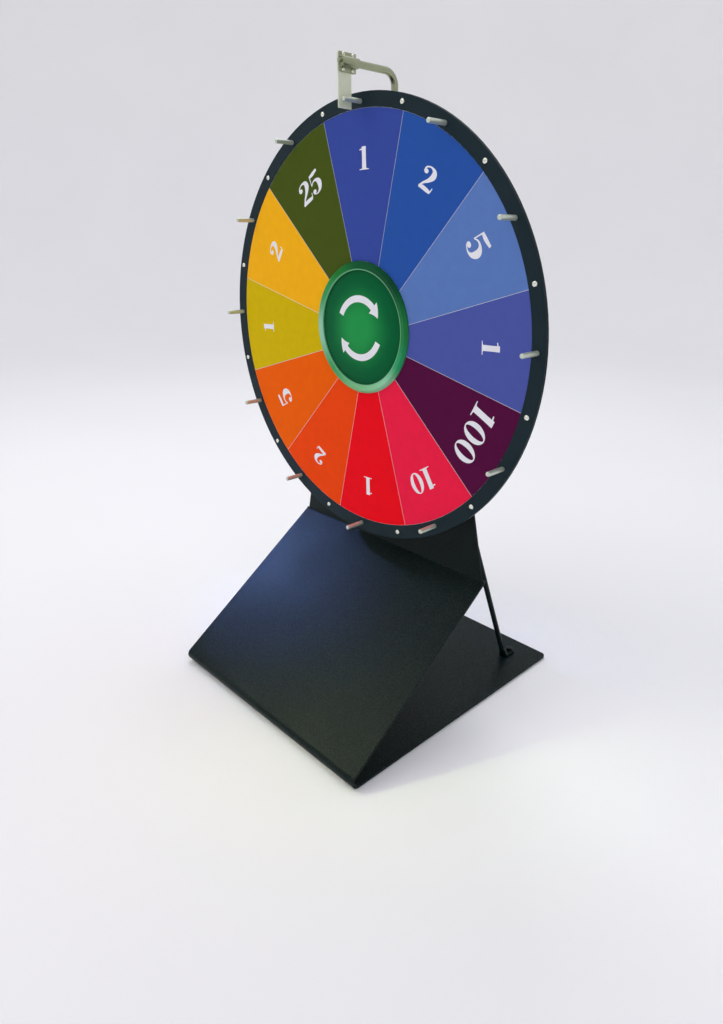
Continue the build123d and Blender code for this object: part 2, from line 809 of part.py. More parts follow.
with BuildPart() as clamp_plate:
    with BuildSketch(facing_left(plate_x, clamp_y, arm_top_z)):
        RectangleRounded(clamp_w, 2 * clamp_half_h, clamp_t)
        with clamp_places():
            Circle(clamp_screw_d / 2 + hole_play, mode=Mode.SUBTRACT)
    extrude(amount=clamp_t)
save(clamp_plate.part, "clamp_plate")

with BuildPart() as clamp_saddle:
    with BuildSketch(facing_front(arm_front_y + clamp_w, 0, arm_top_z)):
        with Locations((saddle_x + clamp_t / 2, 0)):
            Rectangle(clamp_t, 2 * clamp_half_h)
        with Locations((saddle_x / 2, 0)):
            Rectangle(-saddle_x, 2 * saddle_outer_r)
        Circle(saddle_outer_r)
        with Locations((saddle_x / 2 - clamp_t, 0)):
            Rectangle(-saddle_x + 2 * clamp_t, 2 * arm_r, mode=Mode.SUBTRACT)
        Circle(arm_r, mode=Mode.SUBTRACT)
    extrude(amount=clamp_w)
    with BuildSketch(saddle_plane):
        with clamp_places():
            Circle(clamp_screw_d / 2 + hole_play)
    extrude(amount=-clamp_t, mode=Mode.SUBTRACT)
save(clamp_saddle.part, "clamp_saddle")

clamp_grip = 2 * clamp_t + strip_t + 2 * strip_gap
save(domed_screws(
    saddle_plane, clamp_places, clamp_screw_d, clamp_grip + clamp_nut_t + stud_end,
    clamp_head_d, clamp_head_t), "clamp_screws")
save(hex_nuts(
    facing_left(plate_x - clamp_t, clamp_y, arm_top_z), clamp_places,
    clamp_nut_flats, clamp_nut_t, clamp_screw_d), "clamp_nuts")

# Flapper strip: a flexible strip gripped at its top and hanging beside the top peg.
strip_forward = (clamp_w - strip_w) / 2 + strip_lead
with BuildPart() as flapper_strip:
    with BuildSketch(facing_left(strip_right_x, clamp_y, arm_top_z)):
        with Locations((strip_forward, (clamp_half_h - strip_drop) / 2)):
            Rectangle(strip_w, clamp_half_h + strip_drop)
        with clamp_places():
            Circle(clamp_screw_d / 2 + strip_hole_play, mode=Mode.SUBTRACT)
    extrude(amount=strip_t)
save(flapper_strip.part, "flapper_strip")
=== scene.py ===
"""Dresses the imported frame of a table-top game wheel.

It adds the prints, the detail of screws and nuts, a strip that can bend, finishes and a studio.
Every length is in metres, in the frame's own axes: X across the wheel, -Y the front, Z up.
"""

import math

import bmesh
import bpy
import numpy as np
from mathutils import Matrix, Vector


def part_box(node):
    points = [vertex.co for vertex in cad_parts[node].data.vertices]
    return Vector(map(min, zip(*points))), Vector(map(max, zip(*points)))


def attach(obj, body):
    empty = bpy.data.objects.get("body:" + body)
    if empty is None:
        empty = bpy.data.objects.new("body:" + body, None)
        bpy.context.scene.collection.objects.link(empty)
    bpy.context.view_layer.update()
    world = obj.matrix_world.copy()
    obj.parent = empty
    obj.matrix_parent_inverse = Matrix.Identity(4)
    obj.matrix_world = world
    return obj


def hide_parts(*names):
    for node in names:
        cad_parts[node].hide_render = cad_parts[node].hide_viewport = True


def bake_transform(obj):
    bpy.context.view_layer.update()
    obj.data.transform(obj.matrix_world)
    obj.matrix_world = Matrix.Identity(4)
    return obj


bl_info = {
    "name": "Game Wheel",
    "version": (1, 0, 0),
    "blender": (4, 5, 0),
    "location": "View3D > Sidebar > Game Wheel",
    "description": "Adds the prints, fasteners, flapper, finishes and studio of a game wheel",
    "category": "Object",
}

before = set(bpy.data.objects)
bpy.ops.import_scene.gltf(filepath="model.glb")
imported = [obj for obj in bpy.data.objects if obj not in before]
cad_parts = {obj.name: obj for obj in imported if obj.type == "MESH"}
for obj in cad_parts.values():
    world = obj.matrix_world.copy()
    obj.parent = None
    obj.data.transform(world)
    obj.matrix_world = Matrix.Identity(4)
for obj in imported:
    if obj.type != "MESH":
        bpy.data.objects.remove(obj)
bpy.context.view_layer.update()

MM = 0.001


def linear(code):
    """An sRGB hex colour as linear red, green and blue, with an alpha of one."""
    values = [int(code[i:i + 2], 16) / 255 for i in (1, 3, 5)]
    return tuple(v / 12.92 if v <= 0.04045 else ((v + 0.055) / 1.055) ** 2.4 for v in values) + (1.0,)


def shade(colour, factor):
    """A colour made darker or lighter by a factor."""
    return tuple(min(value * factor, 1.0) for value in colour[:3]) + (1.0,)


# Measures taken from the frame


def points_of(node):
    """A CAD node's vertices as an array."""
    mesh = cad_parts[node].data
    points = np.empty(len(mesh.vertices) * 3, np.float32)
    mesh.vertices.foreach_get("co", points)
    return points.reshape(-1, 3).astype(float)


def solids_of(node):
    """The points of each separate solid of a node: the lowest label spreads along its edges."""
    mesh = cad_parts[node].data
    points, index = np.unique(np.round(points_of(node), 6), axis=0, return_inverse=True)
    pairs = np.empty(len(mesh.edges) * 2, np.int32)
    mesh.edges.foreach_get("vertices", pairs)
    pairs = index.reshape(-1)[pairs.reshape(-1, 2)]
    label = np.arange(len(points))
    spread = None
    while spread is None or (spread != label).any():
        spread = label.copy()
        np.minimum.at(label, pairs[:, 0], spread[pairs[:, 1]])
        np.minimum.at(label, pairs[:, 1], spread[pairs[:, 0]])
    return [points[label == one] for one in np.unique(label)]


def radii_of(node, axis):
    """The least and greatest distance of a node's points from an axis along Y."""
    reach = np.hypot(*(points_of(node)[:, [0, 2]] - axis).T)
    return float(reach.min()), float(reach.max())


RING_LOW, RING_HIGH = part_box("rim_ring")
AXIS = np.array([(RING_LOW.x + RING_HIGH.x) / 2, (RING_LOW.z + RING_HIGH.z) / 2])
RING_INNER = radii_of("rim_ring", AXIS)[0]
PANEL_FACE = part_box("graphic_panel")[0].y
HUB_OUTER = radii_of("hub_bezel", AXIS)[1]
# The cap's dome ends just inside the bezel, in front of the panel. Past its edge the cap goes on
# as a hidden flange, so its own box doesn't give these two.
CAP_OUTER = 79.8 * MM
CAP_RIM = PANEL_FACE - 2.0 * MM
CAP_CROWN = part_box("hub_cap")[0].y
SEGMENT_ANGLE = math.radians(30)

# Each segment clockwise from the top: its number, its ink, the number's height and the place of
# its middle across and up from the axle, in millimetres.
SEGMENTS = (
    ("1", "#394C9E", 29, (5.4, 224.1)), ("2", "#2A55A6", 30, (120.8, 193.0)),
    ("5", "#5D7DBD", 34, (201.6, 115.7)), ("1", "#4D59A5", 27, (227.4, -2.4)),
    ("100", "#540E3D", 35, (206.0, -114.3)), ("10", "#F32147", 30, (120.2, -197.0)),
    ("1", "#F30B1D", 27, (12.7, -231.9)), ("2", "#F3480B", 28, (-99.4, -210.9)),
    ("5", "#F36104", 34, (-184.9, -130.6)), ("1", "#D4B504", 27, (-223.5, -18.8)),
    ("2", "#FAB417", 30, (-197.0, 101.1)), ("25", "#475618", 32, (-108.4, 190.7)),
)


class SegmentSettings(bpy.types.PropertyGroup):
    """One segment of the printed face."""

    number: bpy.props.StringProperty(name="Number", description="Number printed on it", default="1")
    ink: bpy.props.FloatVectorProperty(
        name="Ink", description="Colour of the segment", subtype="COLOR", size=4, min=0, max=1,
        default=linear("#3A4A9E"))
    height: bpy.props.FloatProperty(
        name="Height", description="Height of its number", default=30 * MM, min=5 * MM,
        unit="LENGTH")
    place: bpy.props.FloatVectorProperty(
        name="Place", description="Middle of its number, across and up from the axle", size=2,
        default=(0.0, 228 * MM), unit="LENGTH")


class PrintSettings(bpy.types.PropertyGroup):
    """Sizes of what is printed on the wheel."""

    film: bpy.props.FloatProperty(
        name="Film", description="Thickness of the ink film", default=0.06 * MM, unit="LENGTH")
    divider: bpy.props.FloatProperty(
        name="Divider", description="Width of the pale line between segments",
        default=0.6 * MM, unit="LENGTH")
    border: bpy.props.FloatProperty(
        name="Border", description="Width of the pale line round the segments",
        default=0.3 * MM, unit="LENGTH")
    figure_width: bpy.props.FloatProperty(
        name="Figure width", description="Stretches the figures across", default=1.3)
    centre: bpy.props.FloatVectorProperty(
        name="Centre", description="Where the dividers would meet, across and up from the axle",
        size=2, default=(11.0 * MM, -11.5 * MM), unit="LENGTH")
    turn: bpy.props.FloatProperty(
        name="Turn", description="How far the print is turned clockwise on the wheel",
        default=math.radians(-1.95), unit="ROTATION")
    arrow_radius: bpy.props.FloatProperty(
        name="Arrow radius", description="Middle line of the two turning arrows on the hub",
        default=41 * MM, unit="LENGTH")
    arrow_width: bpy.props.FloatProperty(
        name="Arrow width", description="Width of an arrow's shaft", default=9.5 * MM,
        unit="LENGTH")
    segments: bpy.props.CollectionProperty(type=SegmentSettings)


class FastenerSettings(bpy.types.PropertyGroup):
    """Detail of the screws' heads and ends."""

    recess_depth: bpy.props.FloatProperty(
        name="Recess depth", description="Depth of a cross recess as a share of the head's height",
        default=0.55, subtype="FACTOR")
    recess_reach: bpy.props.FloatProperty(
        name="Recess reach", description="Length of a recess arm as a share of the head's radius",
        default=0.58, subtype="FACTOR")
    thread_pitch: bpy.props.FloatProperty(
        name="Thread pitch", description="From one thread crest to the next", default=0.7 * MM,
        unit="LENGTH")


class FinishSettings(bpy.types.PropertyGroup):
    """Colours and grain of the finishes."""

    coat: bpy.props.FloatVectorProperty(
        name="Powder coat", description="Colour of the stand", subtype="COLOR", size=4,
        default=linear("#0D1918"))
    coat_grain: bpy.props.FloatProperty(
        name="Coat grain", description="Width of a grain of the powder coat", default=1.8 * MM,
        unit="LENGTH")
    rim: bpy.props.FloatVectorProperty(
        name="Rim", description="Colour of the ring", subtype="COLOR", size=4,
        default=linear("#18282E"))
    white: bpy.props.FloatVectorProperty(
        name="White", description="Colour of the panel, the numbers and the arrows",
        subtype="COLOR", size=4, default=linear("#ECEBF0"))
    # The cap's two greens are painted shading: the lit green at its middle, the shaded green at its edge.
    hub_painted_highlight: bpy.props.FloatVectorProperty(
        name="Hub middle", description="Green at the middle of the cap", subtype="COLOR", size=4,
        default=linear("#24954A"))
    hub_painted_shade: bpy.props.FloatVectorProperty(
        name="Hub edge", description="Green at the edge of the cap", subtype="COLOR", size=4,
        default=linear("#055630"))
    plating: bpy.props.FloatVectorProperty(
        name="Plating", description="Tint of the plated clicker arm and its clamp",
        subtype="COLOR", size=4, default=linear("#A0A688"))
    strip: bpy.props.FloatVectorProperty(
        name="Strip", description="Colour of the flapper strip", subtype="COLOR", size=4,
        default=linear("#E6EBD0"))


class StudioSettings(bpy.types.PropertyGroup):
    """Light and camera."""

    key: bpy.props.FloatProperty(
        name="Key", description="Key light in watts", default=12.0, unit="POWER")
    top: bpy.props.FloatProperty(
        name="Top", description="Overhead light in watts", default=15.0, unit="POWER")
    side: bpy.props.FloatProperty(
        name="Side", description="Cool side light in watts", default=0.2, unit="POWER")
    low: bpy.props.FloatProperty(
        name="Low", description="Warm light on the panel's right side in watts", default=0.12,
        unit="POWER")
    sky: bpy.props.FloatProperty(
        name="Sky", description="Strength of the even light", default=0.85)
    focal: bpy.props.FloatProperty(
        name="Focal length", description="Focal length on a 36 mm sensor, in millimetres",
        default=25.18)


# Surfaces


def swept(sections, closed=False):
    """Points and faces of a skin over closed loops of points, sections[row, place].

    Four-sided faces join each loop to the next. In an open run of loops, the first and the
    last are filled by a fan to their middle; a closed run joins its last loop to its first.
    The faces are turned outwards by the sign of the volume, which is a sixth of the sum of
    the triangles' corner products.
    """
    rows = np.asarray(sections, float)
    count, size = rows.shape[:2]
    index = np.arange(count * size).reshape(count, size)
    beside, after = np.roll(index, -1, axis=1), np.roll(index, -1, axis=0)
    quads = np.stack([index, beside, np.roll(beside, -1, axis=0), after], axis=-1)
    quads = (quads if closed else quads[:-1]).reshape(-1, 4)
    points, fans = rows.reshape(-1, 3), np.empty((0, 3), int)
    if not closed:
        points = np.concatenate([points, rows[[0, -1]].mean(axis=1)])
        first = np.stack([np.full(size, count * size), beside[0], index[0]], axis=-1)
        last = np.stack([np.full(size, count * size + 1), index[-1], beside[-1]], axis=-1)
        fans = np.concatenate([first, last])
    triangles = np.concatenate([quads[:, [0, 1, 2]], quads[:, [0, 2, 3]], fans])
    a, b, c = (points[triangles[:, i]] - points.mean(axis=0) for i in range(3))
    if (np.cross(a, b) * c).sum() < 0:
        quads, fans = quads[:, ::-1], fans[:, ::-1]
    return points, quads.tolist() + fans.tolist()


def add_piece(name, parts, material, body, crease=40):
    """One object made of several skins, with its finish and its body.

    A piece that bends across a joint has no body of its own.
    """
    points, faces = zip(*parts)
    starts = np.cumsum([0] + [len(skin) for skin in points]).tolist()
    mesh = bpy.data.meshes.new(name)
    mesh.from_pydata(
        np.concatenate(points).tolist(), [],
        [[start + i for i in face] for start, skin in zip(starts, faces) for face in skin])
    mesh.shade_smooth()
    mesh.set_sharp_from_angle(angle=math.radians(crease))
    mesh.materials.append(material)
    piece = bpy.data.objects.new(name, mesh)
    bpy.context.scene.collection.objects.link(piece)
    if body:
        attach(piece, body)
    return piece


def smooth_path(corners, steps=10):
    """A Catmull-Rom curve through given points, each span cut into even steps.

    A span's point at t is half of 2b + (c - a)t + (2a - 5b + 4c - d)t2 + (3b - a - 3c + d)t3.
    """
    p = np.asarray(corners, float)
    p = np.concatenate([2 * p[:1] - p[1:2], p, 2 * p[-1:] - p[-2:-1]])
    t = np.linspace(0, 1, steps, endpoint=False)[None, :, None]
    a, b, c, d = (p[i:len(p) - 3 + i, None, :] for i in range(4))
    curve = 0.5 * (2 * b + (c - a) * t + (2 * a - 5 * b + 4 * c - d) * t ** 2
                   + (3 * b - a - 3 * c + d) * t ** 3)
    return np.concatenate([curve.reshape(-1, p.shape[1]), p[-2:-1]])


def wall_of(left, right, front, back=0.0):
    """Loops of four corners: a left and a right edge, each at a front and a back height."""
    loops = np.empty((len(left), 4, 3))
    loops[:, 0, :2], loops[:, 1, :2] = left, right
    loops[:, 2, :2], loops[:, 3, :2] = right, left
    loops[:, :2, 2], loops[:, 2:, 2] = front, back
    return loops


def stroke(corners, front):
    """Loops of a pen stroke: its path's rows are x, y and half width, set off square to the way."""
    path = smooth_path(corners)
    way = np.gradient(path[:, :2], axis=0)
    way /= np.linalg.norm(way, axis=1, keepdims=True)
    side = np.stack([-way[:, 1], way[:, 0]], axis=-1) * path[:, 2:]
    return wall_of(path[:, :2] + side, path[:, :2] - side, front)


# Figures of a heavy roman style, one high with the baseline at zero. A stroke is rows of x, y
# and half width; a ball is x, y and radius.
FIGURE_WIDTH = {"0": 0.68, "1": 0.50, "2": 0.64, "5": 0.64}
FIGURE_STROKES = {
    "0": (),
    "1": (
        [(0.00, 0.00, 0.105), (0.00, 0.50, 0.100), (0.00, 1.00, 0.105)],
        [(-0.24, 0.018, 0.018), (-0.15, 0.024, 0.024), (0.00, 0.05, 0.05), (0.15, 0.024, 0.024),
         (0.24, 0.018, 0.018)],
        [(0.05, 0.93, 0.065), (-0.09, 0.895, 0.035), (-0.22, 0.865, 0.022)],
    ),
    "2": (
        [(-0.27, 0.70, 0.02), (-0.22, 0.88, 0.03), (-0.03, 0.965, 0.035), (0.15, 0.88, 0.085),
         (0.17, 0.68, 0.11), (0.05, 0.47, 0.075), (-0.14, 0.27, 0.04), (-0.27, 0.06, 0.03)],
        [(-0.29, 0.06, 0.05), (-0.12, 0.095, 0.085), (0.08, 0.08, 0.085), (0.25, 0.06, 0.06)],
        [(0.22, 0.05, 0.045), (0.27, 0.14, 0.022), (0.295, 0.27, 0.015)],
    ),
    "5": (
        [(-0.18, 0.90, 0.06), (0.00, 0.905, 0.08), (0.25, 0.945, 0.055)],
        [(-0.185, 0.96, 0.022), (-0.205, 0.72, 0.018), (-0.225, 0.48, 0.018)],
        [(-0.22, 0.49, 0.018), (-0.10, 0.595, 0.03), (0.05, 0.585, 0.055), (0.165, 0.46, 0.10),
         (0.18, 0.29, 0.11), (0.11, 0.11, 0.075), (-0.04, 0.03, 0.032), (-0.20, 0.08, 0.02),
         (-0.265, 0.19, 0.015)],
    ),
}
FIGURE_BALLS = {"0": (), "1": (), "2": ((-0.185, 0.735, 0.095),), "5": ((-0.18, 0.185, 0.09),)}
ZERO_OUTER = (0.30, 0.50)
ZERO_INNER = (0.125, 0.455)


def figure_parts(figure, film):
    """The loops of one figure, each with whether it closes on itself.

    The third coordinate is the real height over the face. Strokes that cross lie one on the
    other, a hundredth of a millimetre apart, and a ball lies over them all, so that no two
    faces share a plane.
    """
    layer = 0.01 * MM
    top = film + 4 * layer
    parts = [(stroke(corners, film + number * layer), False)
             for number, corners in enumerate(FIGURE_STROKES[figure])]
    turn = np.linspace(0, 2 * np.pi, 40, endpoint=False)
    ring = np.stack([np.cos(turn), np.sin(turn)], axis=-1)
    for x, y, radius in FIGURE_BALLS[figure]:
        front = np.column_stack([(x, y) + radius * ring, np.full(len(ring), top)])
        parts.append((np.stack([front, front * (1, 1, 0)]), False))
    if figure == "0":
        middle = (0, 0.5)
        parts.append((wall_of(middle + ring * ZERO_OUTER, middle + ring * ZERO_INNER, film), True))
    return parts


def reach_of(centre, angle, radius):
    """How far along a ray from the print's centre a circle round the axle lies.

    With c the centre and d the ray's way, it is the greater root of |c + s d| = radius:
    s = sqrt((c.d)2 - |c|2 + radius2) - c.d
    """
    along = centre[0] * np.sin(angle) + centre[1] * np.cos(angle)
    return np.sqrt(along ** 2 - centre[0] ** 2 - centre[1] ** 2 + radius ** 2) - along


def on_face(loops, size, shift, angle, place, foot):
    """Loops of a figure scaled to its width and height, moved along its line and turned.

    A point x, y of the figure goes x along the clockwise way and y outwards at the angle.
    """
    across = (loops[..., 0] + shift) * size[0]
    outward = (loops[..., 1] - 0.5) * size[1]
    return np.stack([
        AXIS[0] + place[0] + outward * math.sin(angle) + across * math.cos(angle),
        foot - loops[..., 2],
        AXIS[1] + place[1] + outward * math.cos(angle) - across * math.sin(angle)], axis=-1)


def turned(profile, columns, ripple=0.0):
    """Circles of a profile whose rows are height and radius; a ripple adds to the radius."""
    angle = np.linspace(0, 2 * np.pi, columns, endpoint=False)
    height, radius = np.asarray(profile, float).T
    reach = radius[:, None] + ripple + 0 * angle
    return np.stack([reach * np.cos(angle), reach * np.sin(angle), height[:, None] + 0 * reach], axis=-1)


def domed_screw(head_d, head_h, shank_d, shank_l, settings):
    """Loops of a domed screw with a cross recess, its head standing on height zero.

    The head falls from its crown as a flattened ellipse to an upright edge, and the recess is
    two crossed slots with soft walls. On the last turns of the shank the radius follows the
    cosine of the angle plus the height over the pitch, which is a thread.
    """
    columns, head_rows = 36, 16
    head_r, shank_r, pitch = head_d / 2, shank_d / 2, settings.thread_pitch
    # A power over two makes the dome fuller than an ellipse.
    edge, fullness = 0.2 * head_h, 2.6
    share = np.linspace(0.04, 1, head_rows)
    head = turned(np.column_stack([
        edge + (head_h - edge) * np.sqrt(1 - share ** fullness), share * head_r]), columns)
    # Half a recess arm's width and the whole of its soft wall's, as shares of the head's radius.
    width, soft = 0.13, 0.10
    across = np.abs(head[..., :2]) / head_r
    inside = np.clip((settings.recess_reach - across) / soft, 0, 1)
    narrow = np.clip((width - across[..., ::-1]) / soft + 0.5, 0, 1)
    head[..., 2] -= settings.recess_depth * head_h * (inside * narrow).max(axis=-1)
    turns, rows_a_turn, least_plain = 4.2, 6, 0.4 * shank_l
    thread_top = -max(shank_l - turns * pitch, least_plain)
    heights = np.arange(thread_top, -shank_l + pitch / rows_a_turn, -pitch / rows_a_turn)
    angle = np.linspace(0, 2 * np.pi, columns, endpoint=False)
    ripple = 0.22 * pitch * np.cos(angle + 2 * np.pi * heights[:, None] / pitch)
    return np.concatenate([
        head, turned([(0, head_r), (0, shank_r), (thread_top, shank_r)], columns),
        turned([(height, shank_r - 0.25 * pitch) for height in heights], columns, ripple),
        turned([(-shank_l, shank_r - 0.5 * pitch)], columns)])


def hex_nut(flats, thickness, bore_d):
    """Loops of a nut round the third axis, from height zero up, each a cut through its wall.

    The outside is the hexagon, half the flats over the cosine of the angle from the nearest
    flat, kept under a cone of 30 degrees at both ends. That gives a turned blank's curved
    corners.
    """
    columns, sector = 72, np.pi / 3
    angle = np.linspace(0, 2 * np.pi, columns, endpoint=False)[:, None]
    from_flat = angle % sector - sector / 2
    level = np.array([0, 0, 0.06, 0.12, 0.2, 0.8, 0.88, 0.94, 1, 1]) * thickness
    end_r, slope = 0.485 * flats, 1.73
    cone = end_r + slope * np.minimum(level, thickness - level)
    radius = np.minimum(flats / 2 / np.cos(from_flat), cone)
    radius[:, [0, -1]] = bore_d / 2
    return np.stack([radius * np.cos(angle), radius * np.sin(angle), level + 0 * radius], axis=-1)


def stand_on(loops, seat, way):
    """Loops turned so that their height runs along a way, and moved to a seat."""
    first = np.cross(way, (0, 0, 1) if abs(way[2]) < 0.5 else (0, 1, 0))
    return seat + loops @ np.stack([first, np.cross(way, first), way])


def along_and_across(points, way):
    """Heights along a way, the middle line's place, and distances from that line."""
    height = points @ way
    flat = points - height[:, None] * way
    middle = (flat.min(axis=0) + flat.max(axis=0)) / 2
    return height, middle, np.linalg.norm(flat - middle, axis=1)


def screw_sizes(points, way):
    """Seat, head diameter, head height, shank diameter and shank length of a plain screw."""
    height, middle, radius = along_and_across(points, way)
    rim_slack, seat_slack = 0.02 * MM, 0.05 * MM
    seat = height[radius > radius.max() - rim_slack].min()
    shank = radius[height < seat - seat_slack].max()
    return middle + seat * way, 2 * radius.max(), height.max() - seat, 2 * shank, seat - height.min()


def nut_sizes(points, way):
    """Seat, distance across flats, thickness and bore of a plain nut."""
    height, middle, radius = along_and_across(points, way)
    return middle + height.min() * way, radius.max() * math.sqrt(3), np.ptp(height), 2 * radius.min()


# Finishes


def add(tree, kind, inputs=None, **settings):
    """Adds a shader node. Inputs maps a socket's name or number to a value, a socket or a node.

    A node given as an input stands for its first live output.
    """
    node = tree.nodes.new("ShaderNode" + kind)
    for name, value in settings.items():
        setattr(node, name, value)
    for name, value in (inputs or {}).items():
        if isinstance(value, bpy.types.Node):
            value = next(output for output in value.outputs if output.enabled)
        if isinstance(value, bpy.types.NodeSocket):
            tree.links.new(value, node.inputs[name])
        else:
            node.inputs[name].default_value = value
    return node


def begin(name):
    """A material with an empty tree, and the place on the piece in metres."""
    material = bpy.data.materials.new(name)
    material.use_nodes = True
    tree = material.node_tree
    tree.nodes.clear()
    return material, tree, add(tree, "TexCoord").outputs["Object"]


def complete(material, inputs):
    """Gives a material its shader: uniform values and nodes stand on the shader's own sockets."""
    tree = material.node_tree
    add(tree, "OutputMaterial", {"Surface": add(tree, "BsdfPrincipled", inputs)})
    return material


def powder_coated_steel(colour, grain):
    """Bent sheet steel with baked polyester powder: a fine sandy skin with a low, broad sheen.

    Real grains are about 0.3 mm wide; they are drawn six times as wide so that they show a
    step away. Broad clouds vary the sheen, and edges are lighter, partly worn and partly a painted
    highlight.
    """
    material, tree, where = begin("powder_coated_steel")
    clouds = add(tree, "TexNoise", {"Vector": where, "Scale": 1 / (60 * MM), "Detail": 2.0})
    sand = add(tree, "TexNoise", {"Vector": where, "Scale": 1 / grain, "Detail": 2.0, "Roughness": 0.6})
    grains = add(tree, "MapRange", {"Value": sand, "From Min": 0.38, "From Max": 0.64})
    body = add(tree, "Mix", {0: grains, 6: shade(colour, 0.3), 7: shade(colour, 2.0)}, data_type="RGBA")
    soft = add(tree, "Bevel", {"Radius": 0.8 * MM}, samples=4)
    own = add(tree, "NewGeometry").outputs["Normal"]
    facing = add(tree, "VectorMath", {0: soft, 1: own}, operation="DOT_PRODUCT")
    # Sharp edges and the fold are lighter: partly wear, partly a painted edge highlight.
    wear = add(tree, "TexNoise", {"Vector": where, "Scale": 1 / (9 * MM), "Detail": 3.0})
    edge = add(tree, "MapRange", {
        "Value": facing, "From Min": 0.97, "From Max": 0.75, "To Min": 0.0, "To Max": 0.5})
    wear_and_edge_highlight = add(tree, "Math", {0: edge, 1: wear}, operation="MULTIPLY")
    coat = add(tree, "Mix", {0: wear_and_edge_highlight, 6: body, 7: shade(colour, 4)}, data_type="RGBA")
    broad = add(tree, "MapRange", {
        "Value": clouds, "From Min": 0.3, "From Max": 0.7, "To Min": 0.34, "To Max": 0.40})
    fine = add(tree, "Math", {0: grains, 1: 0.06}, operation="MULTIPLY")
    sheen = add(tree, "Math", {0: broad, 1: fine}, operation="SUBTRACT")
    skin = add(tree, "Bump", {"Height": sand, "Distance": 0.35 * MM, "Strength": 1.0, "Normal": soft})
    return complete(material, {
        "Base Color": coat, "Roughness": sheen, "Normal": skin, "Specular IOR Level": 0.09})


def satin_black(name, colour, grain, rough, gloss):
    """Even satin black, as on a sprayed aluminium disc or a moulded ABS ring.

    A faint skin breaks the sheen, broad clouds shift the tone, and edges are slightly round.
    """
    material, tree, where = begin(name)
    skin = add(tree, "TexNoise", {"Vector": where, "Scale": 1 / grain, "Detail": 3.0})
    clouds = add(tree, "TexNoise", {"Vector": where, "Scale": 1 / (55 * MM), "Detail": 2.0})
    body = add(tree, "Mix", {0: clouds, 6: shade(colour, 0.8), 7: shade(colour, 1.25)}, data_type="RGBA")
    sheen = add(tree, "MapRange", {
        "Value": skin, "From Min": 0.3, "From Max": 0.7, "To Min": rough - 0.05, "To Max": rough + 0.05})
    soft = add(tree, "Bevel", {"Radius": 0.5 * MM}, samples=4)
    bump = add(tree, "Bump", {"Height": skin, "Distance": 0.03 * MM, "Strength": 0.6, "Normal": soft})
    return complete(material, {
        "Base Color": body, "Roughness": sheen, "Normal": bump, "Specular IOR Level": gloss})


def screen_ink(name, colour):
    """Screen ink on a plastic sheet: an even satin film with very slight mottle."""
    material, tree, where = begin(name)
    mottle = add(tree, "TexNoise", {"Vector": where, "Scale": 1 / (14 * MM), "Detail": 3.0})
    skin = add(tree, "TexNoise", {"Vector": where, "Scale": 1 / (1.6 * MM), "Detail": 2.0})
    body = add(tree, "Mix", {0: mottle, 6: shade(colour, 0.93), 7: shade(colour, 1.06)}, data_type="RGBA")
    sheen = add(tree, "MapRange", {
        "Value": skin, "From Min": 0.3, "From Max": 0.7, "To Min": 0.42, "To Max": 0.5})
    bump = add(tree, "Bump", {"Height": skin, "Distance": 0.008 * MM, "Strength": 0.5})
    return complete(material, {
        "Base Color": body, "Roughness": sheen, "Normal": bump, "Specular IOR Level": 0.03})


def white_polystyrene(colour):
    """White polystyrene sheet that shows as thin lines, a little greyed by the ink beside them."""
    material, tree, where = begin("white_polystyrene_sheet")
    mottle = add(tree, "TexNoise", {"Vector": where, "Scale": 1 / (6 * MM), "Detail": 2.0})
    body = add(tree, "Mix", {0: mottle, 6: shade(colour, 0.66), 7: shade(colour, 0.78)}, data_type="RGBA")
    return complete(material, {"Base Color": body, "Roughness": 0.45, "Specular IOR Level": 0.3})


def from_axle(tree, where):
    """The place measured square to the wheel's axis, and its distance from that axis."""
    moved = add(tree, "VectorMath", {0: where, 1: (AXIS[0], 0.0, AXIS[1])}, operation="SUBTRACT")
    flat = add(tree, "VectorMath", {0: moved, 1: (1.0, 0.0, 1.0)}, operation="MULTIPLY")
    return flat, add(tree, "VectorMath", {0: flat}, operation="LENGTH")


def colour_stops(painted_shading, stops):
    """Sets a ramp's positions and colours, with an eased passage from each to the next."""
    band = painted_shading.color_ramp
    band.interpolation = "EASE"
    for stop in stops[2:]:
        band.elements.new(stop[0])
    for element, (position, colour) in zip(band.elements, stops):
        element.position, element.color = position, colour
    return painted_shading


def cap_acrylic(middle, edge):
    """Thermoformed acrylic, printed green and softly shining, with painted shading: bright at its middle
    and deep at its edge, as light falls on a dome.
    """
    material, tree, where = begin("acrylic_cap_painted_shading")
    reach = from_axle(tree, where)[1]
    share = add(tree, "Math", {0: reach, 1: CAP_OUTER}, operation="DIVIDE")
    cloud = add(tree, "TexNoise", {"Vector": where, "Scale": 1 / (30 * MM), "Detail": 2.0})
    drift = add(tree, "MapRange", {"Value": cloud, "To Min": -0.06, "To Max": 0.06})
    dome_shading_share = add(tree, "Math", {0: share, 1: drift}, operation="ADD")
    # Painted shading of the dome: the middle colour is its painted highlight, the edge colour its painted
    # shade.
    painted_shading = colour_stops(add(tree, "ValToRGB", {"Fac": dome_shading_share}), (
        (0.0, middle), (0.2, middle), (0.85, shade(edge, 1.2)), (1.0, edge)))
    ripple = add(tree, "Bump", {"Height": cloud, "Distance": 0.05 * MM, "Strength": 0.4})
    return complete(material, {
        "Base Color": painted_shading, "Roughness": 0.3, "IOR": 1.49, "Specular IOR Level": 0.04,
        "Normal": ripple})


